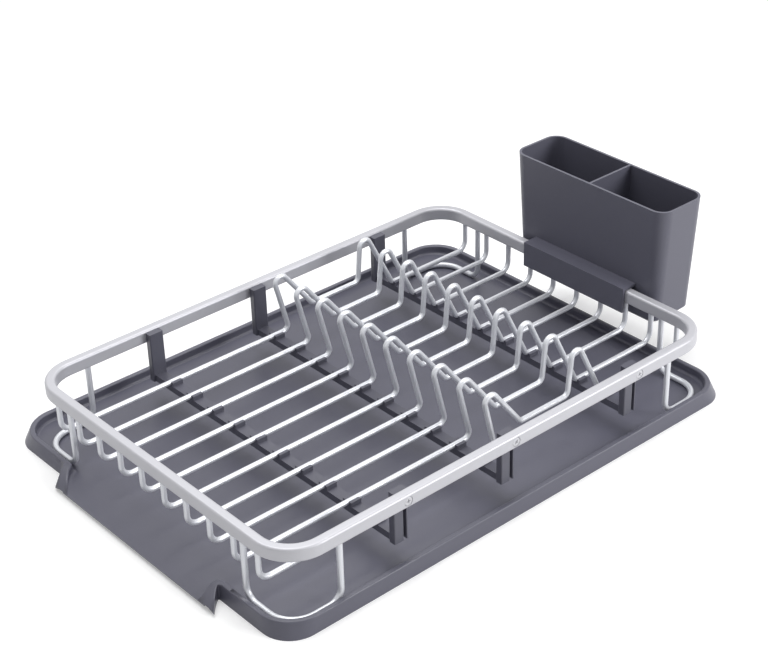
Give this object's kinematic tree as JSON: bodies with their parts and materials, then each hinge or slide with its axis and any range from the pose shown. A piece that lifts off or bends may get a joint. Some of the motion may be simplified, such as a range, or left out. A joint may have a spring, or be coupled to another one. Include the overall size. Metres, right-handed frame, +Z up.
{
  "type": "dish drying rack",
  "caption": "Aluminium dish rack of bent rods in a ring frame, standing in a drip tray with a pour mouth, with a cutlery holder hooked over one end.",
  "frame": {"origin": "middle of the drip tray at the level of the counter", "axes": "+X along the long side towards the cutlery holder, +Y to the back, +Z up"},
  "size_m": [0.493, 0.336, 0.1382],
  "materials": {
    "aluminium": "satin anodised",
    "dark_plastic": "fine satin",
    "screw_steel": "satin"
  },
  "bodies": {
    "tray": {"drip_tray": "dark_plastic"},
    "rack": {"top_frame": "aluminium", "rack_rod_1": "aluminium", "rack_rod_2": "aluminium", "rack_rod_3": "aluminium", "rack_rod_4": "aluminium", "rack_rod_5": "aluminium", "rack_rod_6": "aluminium", "rack_rod_7": "aluminium", "rack_rod_8": "aluminium", "rack_rod_9": "aluminium", "rack_rod_10": "aluminium", "corner_leg_back_left": "aluminium", "corner_leg_back_right": "aluminium", "corner_leg_front_left": "aluminium", "corner_leg_front_right": "aluminium", "cross_beam_left": "dark_plastic", "cross_beam_middle": "dark_plastic", "cross_beam_right": "dark_plastic", "rail_screw_front_left": "screw_steel", "rail_screw_front_middle": "screw_steel", "rail_screw_front_right": "screw_steel", "rail_screw_back_left": "screw_steel", "rail_screw_back_middle": "screw_steel", "rail_screw_back_right": "screw_steel"},
    "holder": {"cutlery_holder": "dark_plastic"}
  },
  "joints": [
    {"name": "rack_lift", "type": "slide", "parent": "tray", "child": "rack", "axis": [0, 0, 1], "range_m": [0, 0.12]},
    {"name": "holder_lift", "type": "slide", "parent": "rack", "child": "holder", "axis": [0, 0, 1], "range_m": [0, 0.08]}
  ]
}
